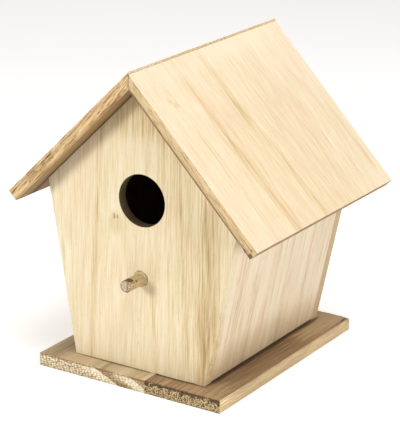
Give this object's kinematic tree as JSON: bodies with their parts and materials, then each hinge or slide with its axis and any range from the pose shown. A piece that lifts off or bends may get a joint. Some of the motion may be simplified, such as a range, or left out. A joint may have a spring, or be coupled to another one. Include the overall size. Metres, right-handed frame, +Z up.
{
  "type": "birdhouse",
  "caption": "Small unfinished wooden birdhouse: flared box body on a plank plinth, mitred gable roof, round entrance above a dowel perch.",
  "frame": {"origin": "centre of the plinth's underside, on the surface that the birdhouse stands on", "axes": "+Z up, the front panel with entrance and perch faces -Y, +X is to the right seen from the front"},
  "size_m": [0.1877, 0.1825, 0.2128],
  "materials": {
    "plinth_wood_pale": "raw sanded paulownia, pale, straight grain",
    "plinth_wood_brown": "raw sanded paulownia, brown heartwood, open pores on the end grain",
    "panel_wood": "raw sanded paulownia with tan growth-ring streaks",
    "side_wood": "raw sanded paulownia with faint tan bands",
    "roof_wood": "raw sanded paulownia with brown streaks and rough sawn edges",
    "dowel_wood": "raw turned dowel with dark flecks",
    "nail_steel": "plain bright steel, dulled"
  },
  "bodies": {
    "root": {"base_plank_left": "plinth_wood_pale", "base_plank_right": "plinth_wood_brown", "front_panel": "panel_wood", "rear_panel": "panel_wood", "side_wall_left": "side_wood", "side_wall_right": "side_wood", "roof_board_left": "roof_wood", "roof_board_right": "roof_wood", "perch_dowel": "dowel_wood", "ridge_brads": "nail_steel", "base_nails": "nail_steel"}
  },
  "joints": []
}
